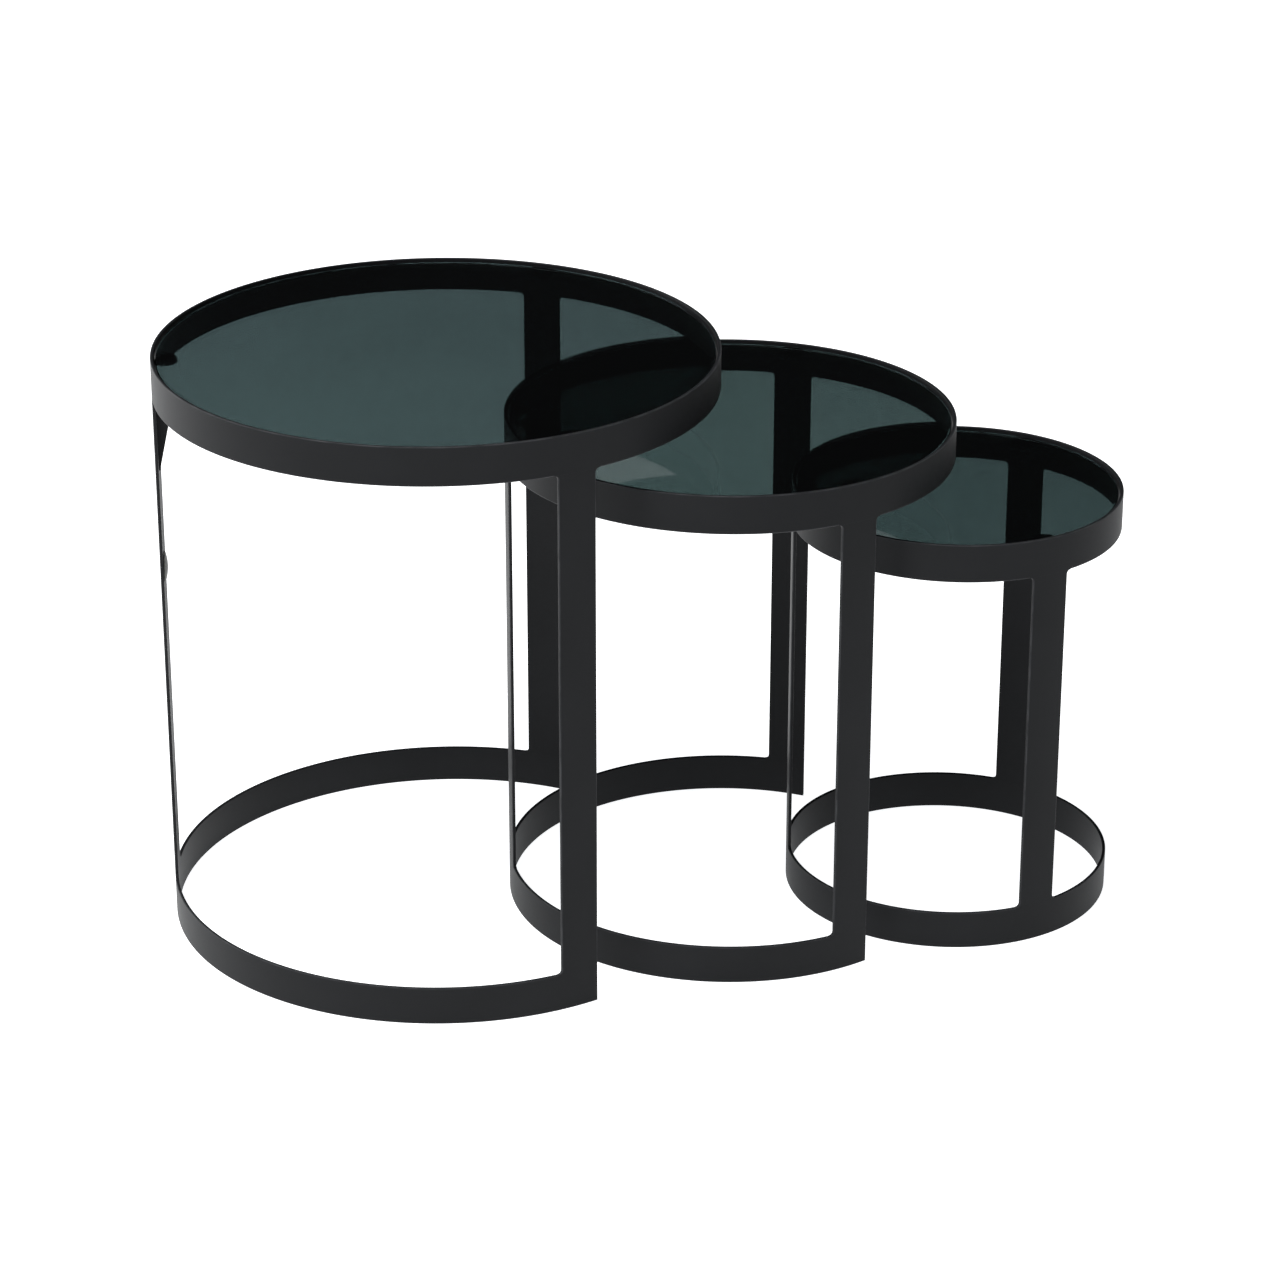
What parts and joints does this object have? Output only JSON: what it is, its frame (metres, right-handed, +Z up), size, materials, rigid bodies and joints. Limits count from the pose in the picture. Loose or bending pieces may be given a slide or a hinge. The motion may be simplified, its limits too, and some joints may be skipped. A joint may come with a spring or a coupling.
{
  "type": "nesting tables",
  "caption": "Round side tables of falling size that slide into each other; black flat-bar hoops, legs and base rings, with smoked glass tops set inside the hoops.",
  "frame": {"origin": "on the floor, at the centre of the three tables' joint bounding box as they stand pulled partly out", "axes": "+X from the large table towards the small one, the way the tables pull out; +Y to the left of that; +Z up"},
  "size_m": [0.8658, 0.5, 0.538],
  "materials": {
    "black_steel": "satin black powder coat",
    "smoked_glass": "polished smoked grey-green float glass",
    "rubber": "matte black"
  },
  "bodies": {
    "large_table": {"large_top_hoop": "black_steel", "large_base_ring": "black_steel", "large_leg_rear": "black_steel", "large_leg_left": "black_steel", "large_leg_right": "black_steel", "large_bracket_rear": "black_steel", "large_bracket_left": "black_steel", "large_bracket_right": "black_steel", "large_pad_rear": "rubber", "large_pad_left": "rubber", "large_pad_right": "rubber", "large_hoop_stop": "black_steel", "large_bumper": "rubber"},
    "large_glass": {"large_glass_top": "smoked_glass"},
    "medium_table": {"medium_top_hoop": "black_steel", "medium_base_ring": "black_steel", "medium_leg_rear": "black_steel", "medium_leg_left": "black_steel", "medium_leg_right": "black_steel", "medium_bracket_rear": "black_steel", "medium_bracket_left": "black_steel", "medium_bracket_right": "black_steel", "medium_pad_rear": "rubber", "medium_pad_left": "rubber", "medium_pad_right": "rubber"},
    "medium_glass": {"medium_glass_top": "smoked_glass"},
    "small_table": {"small_top_hoop": "black_steel", "small_base_ring": "black_steel", "small_leg_rear": "black_steel", "small_leg_left": "black_steel", "small_leg_right": "black_steel", "small_bracket_rear": "black_steel", "small_bracket_left": "black_steel", "small_bracket_right": "black_steel", "small_pad_rear": "rubber", "small_pad_left": "rubber", "small_pad_right": "rubber"},
    "small_glass": {"small_glass_top": "smoked_glass"}
  },
  "joints": [
    {"name": "medium_slide", "type": "slide", "parent": "large_table", "child": "medium_table", "axis": [1, 0, 0], "range_m": [-0.2935, 0.2]},
    {"name": "small_slide", "type": "slide", "parent": "medium_table", "child": "small_table", "axis": [1, 0, 0], "range_m": [-0.25, 0.15]},
    {"name": "large_glass_lift", "type": "slide", "parent": "large_table", "child": "large_glass", "axis": [0, 0, 1], "range_m": [0, 0.025]},
    {"name": "medium_glass_lift", "type": "slide", "parent": "medium_table", "child": "medium_glass", "axis": [0, 0, 1], "range_m": [0, 0.025]},
    {"name": "small_glass_lift", "type": "slide", "parent": "small_table", "child": "small_glass", "axis": [0, 0, 1], "range_m": [0, 0.025]}
  ]
}
